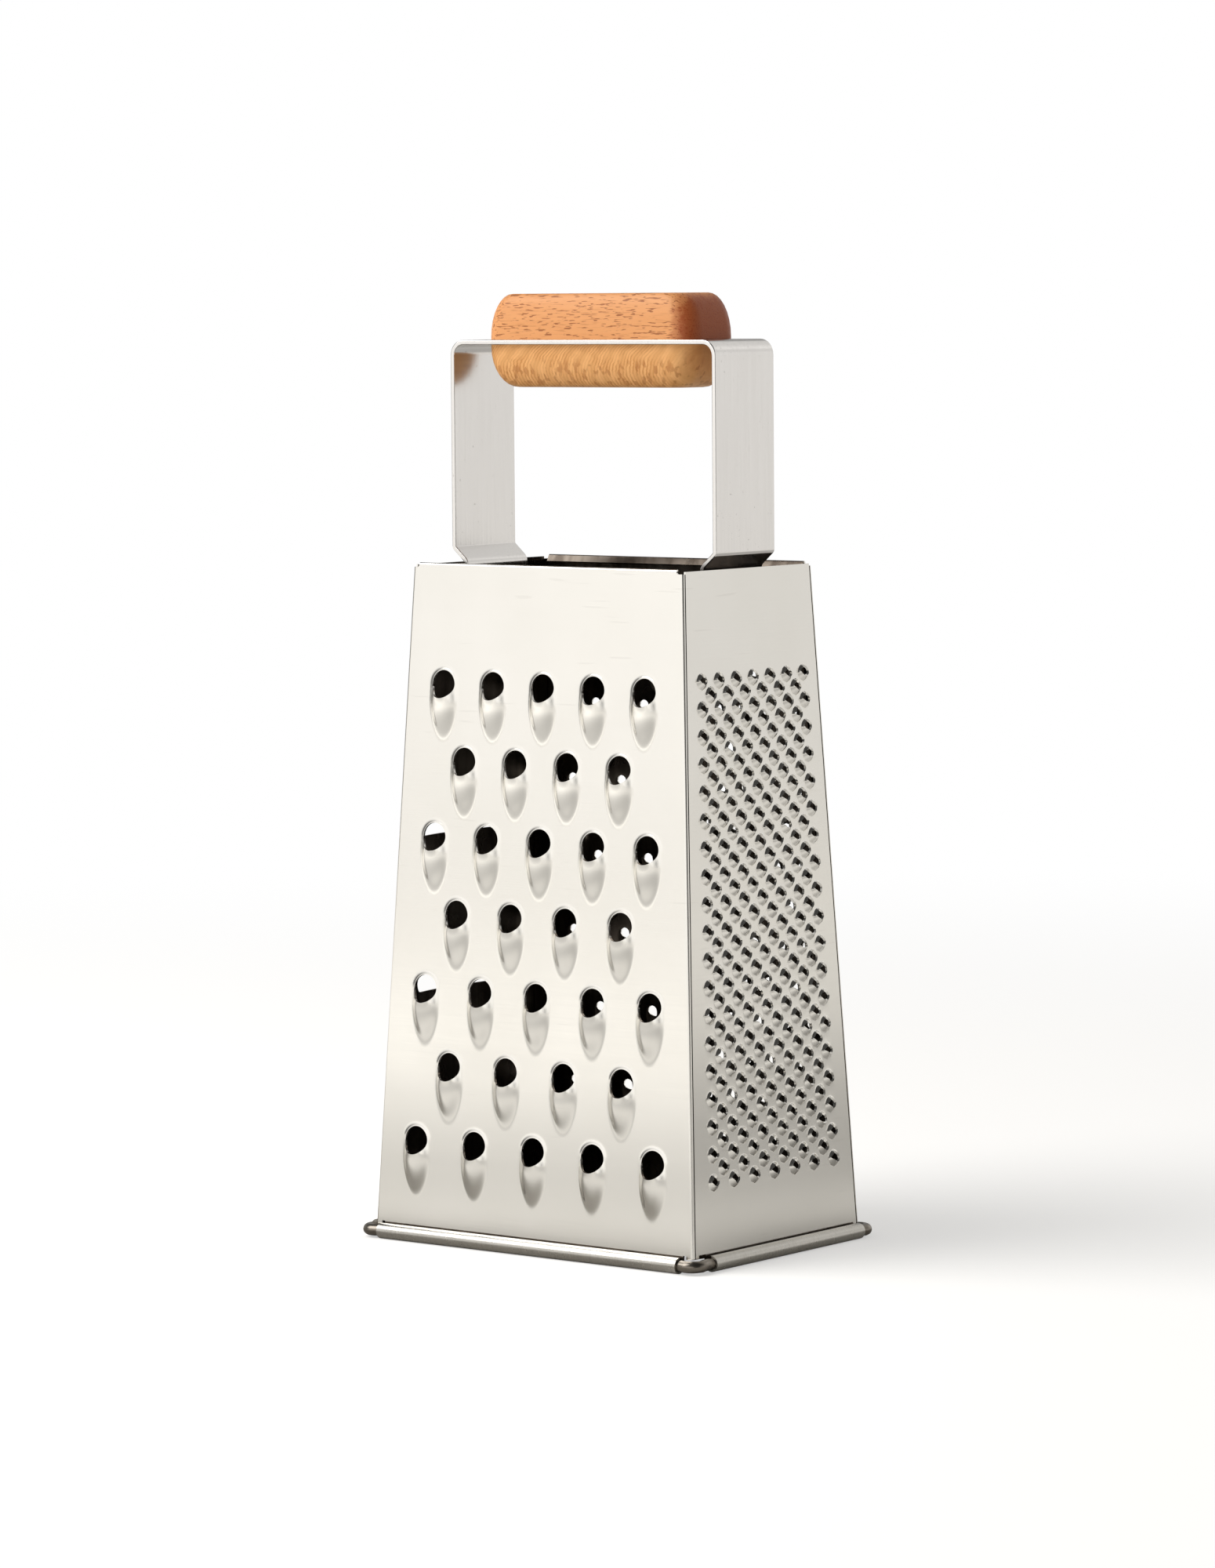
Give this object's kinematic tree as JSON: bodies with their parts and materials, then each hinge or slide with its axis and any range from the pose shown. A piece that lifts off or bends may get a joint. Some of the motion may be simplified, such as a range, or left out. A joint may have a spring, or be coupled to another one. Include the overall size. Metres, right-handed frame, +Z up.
{
  "type": "box grater",
  "caption": "Box grater with coarse, medium, fine and slicing faces on a tapered steel body with rolled base rims, a bent steel strap handle and a wooden grip.",
  "frame": {"origin": "middle of the base, on the surface it stands on", "axes": "+Z up, X across the wide walls, -Y faces the coarse side, +X faces the fine side, -X the slicing side"},
  "size_m": [0.111, 0.0792, 0.245],
  "materials": {
    "panel_steel": "satin, faint horizontal brushing",
    "wire_steel": "drawn, semi-gloss",
    "strap_steel": "brushed up and down",
    "grip_wood": "oiled, open pores",
    "grip_wood_pale": "oiled, open pores",
    "screw_steel": "bright"
  },
  "bodies": {
    "root": {"coarse_panel": "panel_steel", "medium_panel": "panel_steel", "fine_panel": "panel_steel", "slicer_panel": "panel_steel", "base_wire": "wire_steel", "handle_strap": "strap_steel", "grip_upper": "grip_wood", "grip_lower": "grip_wood_pale", "grip_screws": "screw_steel"}
  },
  "joints": []
}
